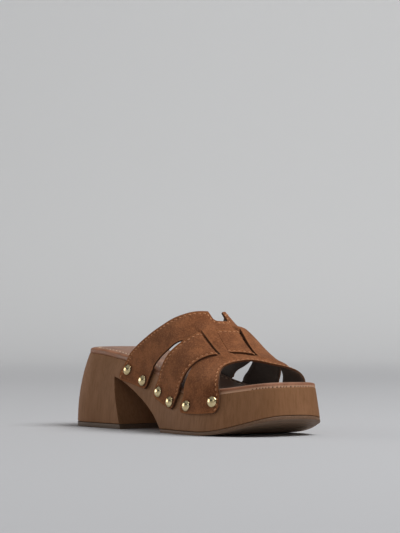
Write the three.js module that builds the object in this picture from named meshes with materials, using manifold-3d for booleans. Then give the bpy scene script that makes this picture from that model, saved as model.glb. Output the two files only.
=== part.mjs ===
// A woman's heeled slide sandal, the right shoe: a one-piece wooden platform and heel, rubber
// treads, a leather-covered insole, and a suede upper of three woven straps nailed to the wood.
// Millimetres. +X runs from heel to toe, +Z is up, and -Y is the lateral (outer) side.
import * as THREE from 'three';
import Module from 'manifold-3d';

const wasm = await Module();
wasm.setup();

// Driving sizes
const length = 245;            // wooden top, heel to toe
const ballWidth = 83;          // wooden top across the ball
const heelHeight = 62.7;       // wooden top over the floor at the very back
const platformHeight = 31.8;   // wooden top over the floor at the ball
const toeSpring = 13.6;        // how far the tread lifts off the floor at the toe
const springStart = 190.5;     // where the tread begins to lift
const heelFlare = { back: 12.8, side: 9.6, bend: 2.3 };   // how far the heel spreads to the floor
const foreFlare = { out: 4.6, bend: 1.42 };               // the same along the forepart
const flareBlend = { from: 60, to: 130 };                 // where heel flare turns to forepart flare
const heelRound = { reach: 28, power: 2.2 };
const toeRound = { lateral: { reach: 51.4, power: 2.5 }, medial: { reach: 13.6, power: 3.1 } };
const breast = { floor: 75, top: 59, topHeight: 42.75 };  // front face of the heel
const archFront = 136.4;       // where the arch comes down on the floor
const archPower = 1.276;
const liftThickness = 3.9;     // rubber top piece under the heel
const treadThickness = 2.7;    // rubber sole under the forepart
const insoleThickness = 3.9;
const gap = 0.3;               // between any two pieces that touch
const strapWall = 2.2;         // suede with its lining
const weaveLift = 2.0;         // how far a strip rises where it passes over another
const instepHeight = 45;       // clear height of the upper over the insole at the notch
const instepCentre = 2.5;      // the ridge of the foot lies a little to the medial side
const lateralRound = 2;        // roundness of the upper's lateral half, as in the table below
const edgeEase = { out: 0.9, depth: 7 };                  // room the straps keep over the insole rim
const tabReach = { rear: 20, middle: 21.3, front: 19 };   // nailed ends, below the insole's top
const tabCorner = 5;           // rounded corners at the nailed ends
const nail = { head: 9.3, dome: 3.0, rim: 0.4, shank: 2.4, length: 12.5, point: 3 };
const nailHole = 3.1;
const notch = { at: 0.98, halfWidth: 6.5, depth: 8.5, corner: 2.6 };

// The wooden top: station and lengths as shares of length, half widths as shares of ballWidth,
// rise as a share of heelHeight over platformHeight, spring as a share of toeSpring
const soleSections = [
  { at: 0.00, lateral: 0.446, medial: 0.386, rise: 1.000, spring: 0.000 },
  { at: 0.14, lateral: 0.402, medial: 0.378, rise: 0.945, spring: 0.000 },
  { at: 0.28, lateral: 0.390, medial: 0.317, rise: 0.796, spring: 0.000 },
  { at: 0.44, lateral: 0.424, medial: 0.248, rise: 0.576, spring: 0.000 },
  { at: 0.58, lateral: 0.477, medial: 0.265, rise: 0.259, spring: 0.000 },
  { at: 0.70, lateral: 0.516, medial: 0.404, rise: 0.000, spring: 0.000 },
  { at: 0.86, lateral: 0.495, medial: 0.480, rise: 0.000, spring: 0.066 },
  { at: 1.00, lateral: 0.402, medial: 0.430, rise: 0.000, spring: 0.485 },
];

// Clear height of the upper over the insole, as a share of instepHeight, and the roundness of its
// medial half: 2 is an ellipse, more is squarer
const instepSections = [
  { at: 0.408, height: 1.367, round: 2.3 },
  { at: 0.531, height: 1.373, round: 2.3 },
  { at: 0.592, height: 1.267, round: 2.3 },
  { at: 0.641, height: 1.116, round: 2.3 },
  { at: 0.694, height: 0.976, round: 2.2 },
  { at: 0.755, height: 0.756, round: 2.0 },
  { at: 0.816, height: 0.560, round: 1.8 },
  { at: 0.878, height: 0.420, round: 1.6 },
  { at: 0.939, height: 0.273, round: 1.5 },
];

// Straps, as shares of length, from the lateral tab over the foot to the medial tab.
// turn: -1 tab end, 0 insole edge, 1 top of the foot, 2 insole edge, 3 tab end
// lift: share of weaveLift by which the strip passes over (or, below 0, under) the others
const straps = {
  rear: [
    { turn: -1.0, back: 0.282, front: 0.453, lift: 0 },
    { turn: -0.5, back: 0.292, front: 0.465, lift: 0 },
    { turn: 0.00, back: 0.322, front: 0.494, lift: 0 },
    { turn: 0.12, back: 0.374, front: 0.533, lift: 0 },
    { turn: 0.24, back: 0.436, front: 0.576, lift: 0 },
    { turn: 0.40, back: 0.509, front: 0.618, lift: 0 },
    { turn: 0.56, back: 0.557, front: 0.665, lift: 0 },
    { turn: 0.72, back: 0.588, front: 0.698, lift: 0 },
    { turn: 0.88, back: 0.609, front: 0.718, lift: 0 },
    { turn: 1.00, back: 0.616, front: 0.727, lift: 0 },
    { turn: 1.12, back: 0.612, front: 0.728, lift: 0 },
    { turn: 1.28, back: 0.595, front: 0.722, lift: 0 },
    { turn: 1.44, back: 0.573, front: 0.710, lift: 0 },
    { turn: 1.60, back: 0.545, front: 0.688, lift: 0 },
    { turn: 1.76, back: 0.507, front: 0.660, lift: 0 },
    { turn: 1.88, back: 0.462, front: 0.634, lift: 0 },
    { turn: 2.00, back: 0.408, front: 0.588, lift: 0 },
    { turn: 2.50, back: 0.368, front: 0.546, lift: 0 },
    { turn: 3.00, back: 0.350, front: 0.528, lift: 0 },
  ],
  middle: [
    { turn: -1.0, back: 0.502, front: 0.641, lift: 0.0 },
    { turn: -0.5, back: 0.518, front: 0.659, lift: 0.0 },
    { turn: 0.00, back: 0.545, front: 0.682, lift: 0.0 },
    { turn: 0.08, back: 0.561, front: 0.696, lift: 0.3 },
    { turn: 0.20, back: 0.590, front: 0.714, lift: 0.8 },
    { turn: 0.36, back: 0.624, front: 0.735, lift: 1.0 },
    { turn: 0.52, back: 0.647, front: 0.759, lift: 1.0 },
    { turn: 0.63, back: 0.659, front: 0.778, lift: 1.0 },
    { turn: 0.72, back: 0.671, front: 0.787, lift: -0.4 },
    { turn: 0.79, back: 0.682, front: 0.792, lift: -0.4 },
    { turn: 0.87, back: 0.691, front: 0.797, lift: 1.0 },
    { turn: 1.00, back: 0.698, front: 0.806, lift: 1.0 },
    { turn: 1.10, back: 0.697, front: 0.812, lift: 1.0 },
    { turn: 1.20, back: 0.692, front: 0.817, lift: -0.4 },
    { turn: 1.36, back: 0.685, front: 0.813, lift: -0.4 },
    { turn: 1.48, back: 0.679, front: 0.801, lift: 1.0 },
    { turn: 1.61, back: 0.671, front: 0.786, lift: 1.0 },
    { turn: 1.78, back: 0.659, front: 0.767, lift: 0.8 },
    { turn: 1.90, back: 0.642, front: 0.756, lift: 0.3 },
    { turn: 2.00, back: 0.623, front: 0.750, lift: 0.0 },
    { turn: 2.50, back: 0.600, front: 0.738, lift: 0.0 },
    { turn: 3.00, back: 0.583, front: 0.727, lift: 0.0 },
  ],
  front: [
    { turn: -1.0, back: 0.688, front: 0.873, lift: 0 },
    { turn: -0.5, back: 0.698, front: 0.874, lift: 0 },
    { turn: 0.00, back: 0.709, front: 0.872, lift: 0 },
    { turn: 0.14, back: 0.718, front: 0.867, lift: 0 },
    { turn: 0.24, back: 0.724, front: 0.861, lift: 0 },
    { turn: 0.36, back: 0.724, front: 0.848, lift: 0 },
    { turn: 0.48, back: 0.724, front: 0.836, lift: 0 },
    { turn: 0.60, back: 0.735, front: 0.837, lift: 0 },
    { turn: 0.72, back: 0.749, front: 0.846, lift: 0 },
    { turn: 0.84, back: 0.763, front: 0.855, lift: 0 },
    { turn: 0.92, back: 0.768, front: 0.872, lift: 0 },
    { turn: 1.00, back: 0.771, front: 0.894, lift: 0 },
    { turn: 1.10, back: 0.773, front: 0.908, lift: 0 },
    { turn: 1.22, back: 0.776, front: 0.914, lift: 0 },
    { turn: 1.38, back: 0.784, front: 0.914, lift: 0 },
    { turn: 1.50, back: 0.794, front: 0.911, lift: 0 },
    { turn: 1.61, back: 0.796, front: 0.906, lift: 0 },
    { turn: 1.74, back: 0.789, front: 0.900, lift: 0 },
    { turn: 1.87, back: 0.779, front: 0.895, lift: 0 },
    { turn: 2.00, back: 0.771, front: 0.892, lift: 0 },
    { turn: 2.50, back: 0.764, front: 0.889, lift: 0 },
    { turn: 3.00, back: 0.757, front: 0.886, lift: 0 },
  ],
};

// The two bars that join the rear strap to the front one, over the middle strap: station as a
// share of length, and the turns between which they lie
const bars = [
  [
    { at: 0.610, from: 0.67, to: 0.84, lift: 0.0 },
    { at: 0.645, from: 0.67, to: 0.83, lift: 0.2 },
    { at: 0.680, from: 0.67, to: 0.82, lift: 1.0 },
    { at: 0.755, from: 0.67, to: 0.80, lift: 1.0 },
    { at: 0.790, from: 0.65, to: 0.78, lift: 0.2 },
    { at: 0.825, from: 0.64, to: 0.77, lift: 0.0 },
  ],
  [
    { at: 0.610, from: 1.24, to: 1.48, lift: 0.0 },
    { at: 0.645, from: 1.23, to: 1.47, lift: 0.2 },
    { at: 0.680, from: 1.19, to: 1.46, lift: 1.0 },
    { at: 0.770, from: 1.135, to: 1.43, lift: 1.0 },
    { at: 0.805, from: 1.10, to: 1.42, lift: 0.2 },
    { at: 0.840, from: 1.08, to: 1.41, lift: 0.0 },
  ],
];
const barFace = { low: 0.18, high: 0.82, rise: 0.9 };   // shares of strapWall, and of weaveLift

// Nails: station as a share of length, and drop below the insole's upper edge as a share of
// the reach of the tab they hold
const nails = {
  lateral: [
    { strap: 'rear', at: 0.327, drop: 0.525 },
    { strap: 'rear', at: 0.429, drop: 0.700 },
    { strap: 'middle', at: 0.543, drop: 0.681 },
    { strap: 'middle', at: 0.627, drop: 0.728 },
    { strap: 'front', at: 0.729, drop: 0.684 },
    { strap: 'front', at: 0.851, drop: 0.526 },
  ],
  medial: [
    { strap: 'rear', at: 0.407, drop: 0.550 },
    { strap: 'rear', at: 0.510, drop: 0.700 },
    { strap: 'middle', at: 0.626, drop: 0.681 },
    { strap: 'middle', at: 0.704, drop: 0.704 },
    { strap: 'front', at: 0.798, drop: 0.658 },
    { strap: 'front', at: 0.858, drop: 0.526 },
  ],
};

const clamp = (v, low, high) => Math.min(high, Math.max(low, v));
const ease = (v) => clamp(v, 0, 1) ** 2 * (3 - 2 * clamp(v, 0, 1));

// A smooth curve through one column of a table
function through(rows, key, column, x) {
  const last = rows.length - 1;
  let i = rows.findIndex((row) => row[key] > x) - 1;
  if (i < 0) i = x < rows[0][key] ? 0 : last - 1;
  const slope = (k) => {
    const a = rows[Math.max(k - 1, 0)];
    const b = rows[Math.min(k + 1, last)];
    return (b[column] - a[column]) / (b[key] - a[key]);
  };
  const step = rows[i + 1][key] - rows[i][key];
  const t = clamp((x - rows[i][key]) / step, 0, 1);
  const t2 = t * t;
  const t3 = t2 * t;
  return (2 * t3 - 3 * t2 + 1) * rows[i][column] + (t3 - 2 * t2 + t) * step * slope(i)
    + (3 * t2 - 2 * t3) * rows[i + 1][column] + (t3 - t2) * step * slope(i + 1);
}

// The same column with a level run at each row, for the rise and fall of the weave
function stepped(rows, key, column, x) {
  const i = clamp(rows.findIndex((row) => row[key] > x) - 1, 0, rows.length - 2);
  const k = x >= rows[rows.length - 1][key] ? rows.length - 2 : i;
  const t = ease((x - rows[k][key]) / (rows[k + 1][key] - rows[k][key]));
  return rows[k][column] + (rows[k + 1][column] - rows[k][column]) * t;
}

// Plan outline of the wooden top: half width at a station, 0 at both ends
function halfWidth(x, side) {
  const edge = side < 0 ? 'lateral' : 'medial';
  const round = toeRound[edge];
  const heel = clamp(1 - x / heelRound.reach, 0, 1);
  const toe = clamp((x - length + round.reach) / round.reach, 0, 1);
  return ballWidth * through(soleSections, 'at', edge, x / length)
    * (1 - heel ** heelRound.power) ** (1 / heelRound.power)
    * (1 - toe ** round.power) ** (1 / round.power);
}

function topHeight(x) {
  const at = clamp(x / length, 0, 1);
  return platformHeight + (heelHeight - platformHeight) * through(soleSections, 'at', 'rise', at)
    + toeSpring * through(soleSections, 'at', 'spring', at);
}

function springHeight(x) {
  return toeSpring * clamp((x - springStart) / (length - springStart), 0, 1) ** 2;
}

// A point on the sole's side wall at a station and height, pushed outwards by offset
function wallPoint(x, side, z, offset) {
  const reach = 0.05;
  const a = Math.max(x - reach, 0);
  const b = Math.min(x + reach, length);
  const slope = (halfWidth(a, side) - halfWidth(b, side)) / (b - a);
  const normal = new THREE.Vector2(slope, side).normalize();
  const top = topHeight(x);
  const down = clamp((top - z) / top, 0, 1);
  const fore = ease((x - flareBlend.from) / (flareBlend.to - flareBlend.from));
  const spread = 1 - (1 - down) ** (heelFlare.bend + (foreFlare.bend - heelFlare.bend) * fore);
  const back = heelFlare.back + (foreFlare.out - heelFlare.back) * fore;
  const out = heelFlare.side + (foreFlare.out - heelFlare.side) * fore;
  return new THREE.Vector3(
    x + normal.x * (back * spread + offset),
    side * halfWidth(x, side) + normal.y * (out * spread + offset),
    z,
  );
}

// Inner face of the upper. Over the insole it is an arch between the two walls, and past the
// insole's edge it runs down outside the wood, one tab length for each whole turn.
function lastPoint(x, turn, tab) {
  const side = turn < 1 ? -1 : 1;
  const round = side < 0 ? lateralRound : through(instepSections, 'at', 'round', x / length);
  const edgeHeight = topHeight(x) + gap + insoleThickness;
  const drop = Math.max(-turn, turn - 2, 0) * tab;
  if (drop > 0) {
    const offset = gap + edgeEase.out * (1 - ease(drop / edgeEase.depth));
    return wallPoint(x, side, edgeHeight - drop, offset);
  }
  const foot = wallPoint(x, side, edgeHeight, gap + edgeEase.out);
  const angle = turn * Math.PI / 2;
  const across = Math.abs(Math.cos(angle)) ** (2 / round);
  const up = Math.abs(Math.sin(angle)) ** (2 / round);
  return new THREE.Vector3(
    x + (foot.x - x) * across,
    instepCentre + (foot.y - instepCentre) * across,
    edgeHeight + instepHeight * through(instepSections, 'at', 'height', x / length) * up,
  );
}

function lastNormal(x, turn, tab) {
  const along = lastPoint(x + 0.3, turn, tab).sub(lastPoint(x - 0.3, turn, tab));
  const round = lastPoint(x, turn + 0.01, tab).sub(lastPoint(x, turn - 0.01, tab));
  return along.cross(round).normalize();
}

const shellPoint = (x, turn, tab, out) =>
  lastPoint(x, turn, tab).addScaledVector(lastNormal(x, turn, tab), out);

function solid(points, triangles) {
  const vertProperties = new Float32Array(points.flatMap((p) => [p.x, p.y, p.z]));
  const triVerts = new Uint32Array(triangles.flat());
  return new wasm.Manifold(new wasm.Mesh({ numProp: 3, vertProperties, triVerts }));
}

// A closed wall between two faces given as rows of points, the first face outermost
function wall(outer, inner) {
  const rows = outer.length;
  const columns = outer[0].length;
  const id = (i, j) => i * columns + j;
  const under = rows * columns;
  const triangles = [];
  for (let i = 0; i < rows - 1; i += 1) {
    for (let j = 0; j < columns - 1; j += 1) {
      const [a, b, c, d] = [id(i, j), id(i, j + 1), id(i + 1, j + 1), id(i + 1, j)];
      triangles.push([a, b, c], [a, c, d]);
      triangles.push([under + a, under + c, under + b], [under + a, under + d, under + c]);
    }
  }
  const rim = [];
  for (let j = 0; j < columns - 1; j += 1) rim.push([id(0, j), id(0, j + 1)]);
  for (let i = 0; i < rows - 1; i += 1) rim.push([id(i, columns - 1), id(i + 1, columns - 1)]);
  for (let j = columns - 1; j > 0; j -= 1) rim.push([id(rows - 1, j), id(rows - 1, j - 1)]);
  for (let i = rows - 1; i > 0; i -= 1) rim.push([id(i, 0), id(i - 1, 0)]);
  for (const [a, b] of rim) triangles.push([b, a, under + a], [b, under + a, under + b]);
  return solid([...outer.flat(), ...inner.flat()], triangles);
}

// A closed stack of rings from the bottom up. Each ring runs along the lateral side from heel
// to toe and back along the medial side.
const stations = 36;
function stack(ringAt, levels) {
  const count = 2 * stations;
  const points = [];
  for (let level = 0; level <= levels; level += 1) {
    for (let k = 0; k < count; k += 1) {
      const step = k <= stations ? k : count - k;
      const x = length * (1 - Math.cos(Math.PI * step / stations)) / 2;
      points.push(ringAt(x, k <= stations ? -1 : 1, level / levels, level));
    }
  }
  const triangles = [];
  for (let level = 0; level < levels; level += 1) {
    for (let k = 0; k < count; k += 1) {
      const a = level * count + k;
      const b = level * count + (k + 1) % count;
      triangles.push([a, b, b + count], [a, b + count, a + count]);
    }
  }
  const top = levels * count;
  for (let k = 0; k < stations; k += 1) {
    const far = (count - k) % count;
    const next = count - k - 1;
    if (k < stations - 1) triangles.push([k, next, k + 1], [top + k, top + k + 1, top + next]);
    if (k > 0) triangles.push([k, far, next], [top + k, top + next, top + far]);
  }
  return solid(points, triangles);
}

// A bar across the whole shoe with the given outline in X and Z
function crossBar(outline) {
  const half = ballWidth;
  const left = outline.map(([x, z]) => new THREE.Vector3(x, -half, z));
  const right = outline.map(([x, z]) => new THREE.Vector3(x, half, z));
  const flat = outline.map(([x, z]) => new THREE.Vector2(x, z));
  const faces = THREE.ShapeUtils.triangulateShape(flat, []);
  const n = outline.length;
  const triangles = [];
  for (const [a, b, c] of faces) triangles.push([a, b, c], [n + a, n + c, n + b]);
  for (let k = 0; k < n; k += 1) {
    const m = (k + 1) % n;
    triangles.push([k, n + m, m], [k, n + k, n + m]);
  }
  return solid([...left, ...right], triangles);
}

function mesh(name, body, colour, roughness) {
  const { vertProperties, triVerts } = body.getMesh();
  const geometry = new THREE.BufferGeometry();
  const position = new THREE.BufferAttribute(Float32Array.from(vertProperties), 3);
  geometry.setAttribute('position', position);
  geometry.setIndex(new THREE.BufferAttribute(Uint32Array.from(triVerts), 1));
  geometry.computeVertexNormals();
  const material = new THREE.MeshStandardMaterial({ color: colour, roughness });
  const piece = new THREE.Mesh(geometry, material);
  piece.name = name;
  return piece;
}

// The open space under the waist: the heel's leaning front face and the long arch
const below = -5;
const archSteps = 16;
const archLine = [];
for (let k = 0; k <= archSteps; k += 1) {
  const angle = k / archSteps * Math.PI / 2;
  archLine.push([
    breast.top + (archFront - breast.top) * Math.sin(angle) ** (2 / archPower),
    breast.topHeight * Math.cos(angle) ** (2 / archPower),
  ]);
}
const breastLean = (breast.floor - breast.top) / breast.topHeight;
const breastFoot = breast.floor - breastLean * below;
const archSpace = crossBar([[breastFoot, below], [archFront, below], ...archLine.slice().reverse()]);

// Cuts the treads off in front of or behind the arch
const behindArch = crossBar([
  [-ballWidth, below], [archFront, below], [archFront, heelHeight], [-ballWidth, heelHeight],
]);
const aheadOfHeel = crossBar([
  [breastFoot, below], [2 * length, below], [2 * length, breast.topHeight],
  [breast.top, breast.topHeight],
]);

// Underside of the wood: over the heel's lift, and over the forepart's tread
function woodUnderside(x) {
  const fore = ease((x - breast.floor) / (archFront - breast.floor) * 2 - 0.5);
  const overLift = liftThickness + gap;
  const overTread = treadThickness + gap + springHeight(x);
  return overLift + (overTread - overLift) * fore;
}

const woodBands = 6;
const wood = stack((x, side, share) => {
  const low = woodUnderside(x);
  return wallPoint(x, side, low + (topHeight(x) - low) * share, 0);
}, woodBands).subtract(archSpace);

const heelLift = stack((x, side, share) => wallPoint(x, side, liftThickness * share, 0), 1)
  .subtract(aheadOfHeel);

const tread = stack(
  (x, side, share) => wallPoint(x, side, springHeight(x) + treadThickness * share, 0),
  1,
).subtract(behindArch);

// The insole's wrapped edge: inset from the wood's edge and height over it, as shares of the
// insole's thickness
const insoleRim = [
  { inset: 0.49, height: 0.00 },
  { inset: 0.18, height: 0.18 },
  { inset: 0.15, height: 0.55 },
  { inset: 0.26, height: 0.82 },
  { inset: 0.67, height: 1.00 },
];
const insole = stack((x, side, share, level) => {
  const row = insoleRim[level];
  const edge = wallPoint(x, side, topHeight(x), -insoleThickness * row.inset);
  edge.z += gap + insoleThickness * row.height;
  return edge;
}, insoleRim.length - 1);

// A strap from its table. Towards the tab ends its corners are rounded.
const turnStep = 0.0625;
const strapColumns = 5;
function strap(name) {
  const tab = tabReach[name];
  const rows = straps[name];
  const turns = [];
  const tabSteps = 7;
  for (let k = 0; k <= tabSteps; k += 1) turns.push(-Math.cos(k / tabSteps * Math.PI / 2));
  for (let turn = turnStep; turn < 2 - turnStep / 2; turn += turnStep) turns.push(turn);
  for (let k = 0; k <= tabSteps; k += 1) turns.push(2 + Math.sin(k / tabSteps * Math.PI / 2));
  const outer = [];
  const inner = [];
  for (const turn of turns) {
    const toEnd = Math.min(turn + 1, 3 - turn) * tab;
    const short = clamp(tabCorner - toEnd, 0, tabCorner);
    const pull = tabCorner - Math.sqrt(tabCorner ** 2 - short ** 2);
    const back = length * through(rows, 'turn', 'back', turn) + pull;
    const front = length * through(rows, 'turn', 'front', turn) - pull;
    const low = weaveLift * stepped(rows, 'turn', 'lift', turn);
    const across = Array.from(
      { length: strapColumns + 1 },
      (_, j) => back + (front - back) * j / strapColumns,
    );
    outer.push(across.map((x) => shellPoint(x, turn, tab, low + strapWall)));
    inner.push(across.map((x) => shellPoint(x, turn, tab, low)));
  }
  return wall(outer, inner);
}

// A patch of wall over the instep, from rows that run from heel to toe
function instepPatch(rows) {
  const steps = 4;
  const faceAt = (out) => {
    const lines = [];
    for (let i = 0; i <= steps; i += 1) {
      lines.push(rows.map((row) =>
        shellPoint(row.x, row.from + (row.to - row.from) * i / steps, 0, row[out])));
    }
    return lines;
  };
  return wall(faceAt('high'), faceAt('low'));
}

function bar(rows) {
  const first = rows[0].at;
  const last = rows[rows.length - 1].at;
  const steps = 14;
  const sections = [];
  for (let k = 0; k <= steps; k += 1) {
    const at = first + (last - first) * k / steps;
    sections.push({
      x: length * at,
      from: through(rows, 'at', 'from', at),
      to: through(rows, 'at', 'to', at),
      low: strapWall * barFace.low,
      high: strapWall * barFace.high + weaveLift * barFace.rise * stepped(rows, 'at', 'lift', at),
    });
  }
  return instepPatch(sections);
}

// The U-shaped notch in the rear strap's back edge, over the instep
function notchSpace() {
  const back = length * through(straps.rear, 'turn', 'back', notch.at);
  const foot = back + notch.depth;
  const turnPerMm = 0.01 / lastPoint(back, notch.at + 0.01, 0).distanceTo(lastPoint(back, notch.at, 0));
  const sections = [];
  const steps = 6;
  const open = back - 3 * notch.depth;
  sections.push({ x: open, half: notch.halfWidth });
  for (let k = 0; k <= steps; k += 1) {
    const angle = k / steps * Math.PI / 2;
    sections.push({
      x: foot - notch.corner * (1 - Math.sin(angle)),
      half: notch.halfWidth - notch.corner * (1 - Math.cos(angle)),
    });
  }
  return instepPatch(sections.map(({ x, half }) => ({
    x,
    from: notch.at - half * turnPerMm,
    to: notch.at + half * turnPerMm,
    low: -2 * strapWall,
    high: 3 * strapWall,
  })));
}

const colours = { suede: '#6f4930', wood: '#6f523c', rubber: '#44372f', wrap: '#8f6a54', brass: '#c9b27a' };

let upper = strap('rear').subtract(notchSpace()).add(strap('front')).add(strap('middle'));
for (const rows of bars) upper = upper.add(bar(rows));

// Each nail stands square to the strap, with its domed head on the suede and its shank in the wood
const nailSides = 12;
const domeSteps = 3;
const headRadius = nail.head / 2;
const domeHeight = nail.dome - nail.rim;
const domeRadius = (headRadius ** 2 + domeHeight ** 2) / (2 * domeHeight);
const domeAngle = Math.asin(headRadius / domeRadius);
const nailProfile = [
  new THREE.Vector2(0, -nail.length),
  new THREE.Vector2(nail.shank / 2, -nail.length + nail.point),
  new THREE.Vector2(nail.shank / 2, 0),
  new THREE.Vector2(headRadius, 0),
];
for (let k = 0; k < domeSteps; k += 1) {
  const angle = domeAngle * (1 - k / domeSteps);
  nailProfile.push(new THREE.Vector2(
    domeRadius * Math.sin(angle),
    nail.dome - domeRadius * (1 - Math.cos(angle)),
  ));
}
nailProfile.push(new THREE.Vector2(0, nail.dome));
const up = new THREE.Vector3(0, 1, 0);
const holeSides = 10;
const holeClear = 1;

function holeSolid(seat, turned) {
  const depth = nail.length + holeClear;
  const reach = depth + 2 * strapWall;
  const ring = (y) => Array.from({ length: holeSides }, (_, k) => {
    const angle = 2 * Math.PI * k / holeSides;
    return new THREE.Vector3(Math.sin(angle) * nailHole / 2, y, Math.cos(angle) * nailHole / 2)
      .applyQuaternion(turned).add(seat);
  });
  const points = [...ring(-depth), ...ring(reach - depth)];
  const triangles = [];
  for (let k = 0; k < holeSides; k += 1) {
    const m = (k + 1) % holeSides;
    triangles.push([k, m, m + holeSides], [k, m + holeSides, k + holeSides]);
    if (k > 0 && m > 0) triangles.push([0, m, k], [holeSides, holeSides + k, holeSides + m]);
  }
  return solid(points, triangles);
}

const studs = [];
let drilledWood = wood;
for (const [edge, rows] of Object.entries(nails)) {
  rows.forEach(({ strap: held, at, drop }, index) => {
    const x = length * at;
    const turn = edge === 'lateral' ? -drop : 2 + drop;
    const tab = tabReach[held];
    const seat = shellPoint(x, turn, tab, strapWall + gap);
    const turned = new THREE.Quaternion().setFromUnitVectors(up, lastNormal(x, turn, tab));
    const hole = holeSolid(seat, turned);
    drilledWood = drilledWood.subtract(hole);
    upper = upper.subtract(hole);
    const geometry = new THREE.LatheGeometry(nailProfile, nailSides);
    const material = new THREE.MeshStandardMaterial({
      color: colours.brass, roughness: 0.25, metalness: 1,
    });
    const stud = new THREE.Mesh(geometry, material);
    stud.name = `stud_${edge}_${index + 1}`;
    stud.position.copy(seat);
    stud.quaternion.copy(turned);
    studs.push(stud);
  });
}

const group = new THREE.Group();
group.add(
  mesh('platform_sole', drilledWood, colours.wood, 0.6),
  mesh('heel_top_lift', heelLift, colours.rubber, 0.8),
  mesh('forepart_outsole', tread, colours.rubber, 0.8),
  mesh('insole', insole, colours.wrap, 0.55),
  mesh('upper', upper, colours.suede, 0.95),
  ...studs,
);

// The frame's origin: under the middle of the whole shoe, on the floor
group.updateMatrixWorld(true);
const box = new THREE.Box3().setFromObject(group, true);
group.position.set(-(box.min.x + box.max.x) / 2, -(box.min.y + box.max.y) / 2, 0);

export default group;
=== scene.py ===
"""A heeled slide sandal, the right shoe: wood platform, rubber treads, leather-covered insole and
a woven suede upper nailed to the wood. Shapes are worked out in the shoe's own millimetres:
X runs from heel to toe, Z is up, and -Y is the lateral side."""
import math

import bmesh
import bpy
import numpy as np
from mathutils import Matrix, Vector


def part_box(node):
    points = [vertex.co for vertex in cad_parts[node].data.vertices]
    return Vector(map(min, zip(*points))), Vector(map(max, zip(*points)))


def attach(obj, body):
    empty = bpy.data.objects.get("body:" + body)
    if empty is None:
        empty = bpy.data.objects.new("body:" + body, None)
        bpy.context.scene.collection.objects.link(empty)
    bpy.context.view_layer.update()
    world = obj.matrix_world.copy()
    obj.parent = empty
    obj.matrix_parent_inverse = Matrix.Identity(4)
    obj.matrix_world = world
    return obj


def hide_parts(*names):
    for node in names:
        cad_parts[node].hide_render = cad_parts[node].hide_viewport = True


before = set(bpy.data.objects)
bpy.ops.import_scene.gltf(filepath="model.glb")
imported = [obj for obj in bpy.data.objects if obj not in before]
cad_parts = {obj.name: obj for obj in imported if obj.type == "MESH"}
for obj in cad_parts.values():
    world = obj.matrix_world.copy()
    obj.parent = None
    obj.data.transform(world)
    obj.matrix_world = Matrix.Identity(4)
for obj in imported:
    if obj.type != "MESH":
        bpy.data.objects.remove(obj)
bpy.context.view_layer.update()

# The camera: it stands off the toe end of the lateral side, two metres away and just above the
# straps, and looks along the floor with a long lens.
camera = bpy.data.objects.new("camera", bpy.data.cameras.new("camera"))
bpy.context.collection.objects.link(camera)
camera.location = (1.640476, -1.144638, 0.10319)
camera.rotation_euler = (math.radians(90.8805), 0, math.radians(54.8465))
camera.data.sensor_width = 36
camera.data.lens = 164.8
camera.data.clip_start = 0.1
bpy.context.scene.camera = camera
bpy.context.scene.view_settings.view_transform = "Standard"

# The platform: one block of satin brown wood, heel and sole together, that spreads towards the
# floor. It is band-sawn to the foot's outline, hollowed under the waist, and sanded at its edges.
MM = 0.001
length = 245
ball_width = 83
heel_height = 62.7
platform_height = 31.8
toe_spring = 13.6
spring_start = 190.5
heel_back, heel_side, heel_bend = 12.8, 9.6, 2.3
fore_out, fore_bend = 4.6, 1.42
flare_from, flare_to = 60, 130
heel_reach, heel_power = 28, 2.2
toe_reach = {-1: 51.4, 1: 13.6}
toe_power = {-1: 2.5, 1: 3.1}
breast_floor, breast_top, breast_height = 75, 59, 42.75
arch_front, arch_power = 136.4, 1.276
lift_thickness, tread_thickness, gap = 3.9, 2.7, 0.3

# Station, lateral and medial half width, rise of the top, toe spring of the top
sole_sections = np.array([
    (0.00, 0.446, 0.386, 1.000, 0.000),
    (0.14, 0.402, 0.378, 0.945, 0.000),
    (0.28, 0.390, 0.317, 0.796, 0.000),
    (0.44, 0.424, 0.248, 0.576, 0.000),
    (0.58, 0.477, 0.265, 0.259, 0.000),
    (0.70, 0.516, 0.404, 0.000, 0.000),
    (0.86, 0.495, 0.480, 0.000, 0.066),
    (1.00, 0.402, 0.430, 0.000, 0.485),
])

# How far the flared block reaches behind the heel end of its top, and to the lateral side of the
# shoe's axis, in metres
behind_heel, beside_axis = 0.012772, 0.047323
sole_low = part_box("platform_sole")[0]
shoe_origin = np.array([sole_low.x + behind_heel, sole_low.y + beside_axis, 0])


def ease(v):
    """3v² - 2v³ between 0 and 1: a step with level ends."""
    v = np.clip(v, 0, 1)
    return v * v * (3 - 2 * v)


def through(table, column, x):
    """A smooth curve through one column of a table: cubic spans whose slope at each row is the
    slope between that row's two neighbours."""
    key, value = table[:, 0], table[:, column]
    slope = np.empty_like(value)
    slope[1:-1] = (value[2:] - value[:-2]) / (key[2:] - key[:-2])
    slope[0] = (value[1] - value[0]) / (key[1] - key[0])
    slope[-1] = (value[-1] - value[-2]) / (key[-1] - key[-2])
    row = np.clip(np.searchsorted(key, x, side="right") - 1, 0, len(key) - 2)
    step = key[row + 1] - key[row]
    t = np.clip((x - key[row]) / step, 0, 1)
    start = (2 * t**3 - 3 * t**2 + 1) * value[row] + (t**3 - 2 * t**2 + t) * step * slope[row]
    return start + (3 * t**2 - 2 * t**3) * value[row + 1] + (t**3 - t**2) * step * slope[row + 1]


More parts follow.
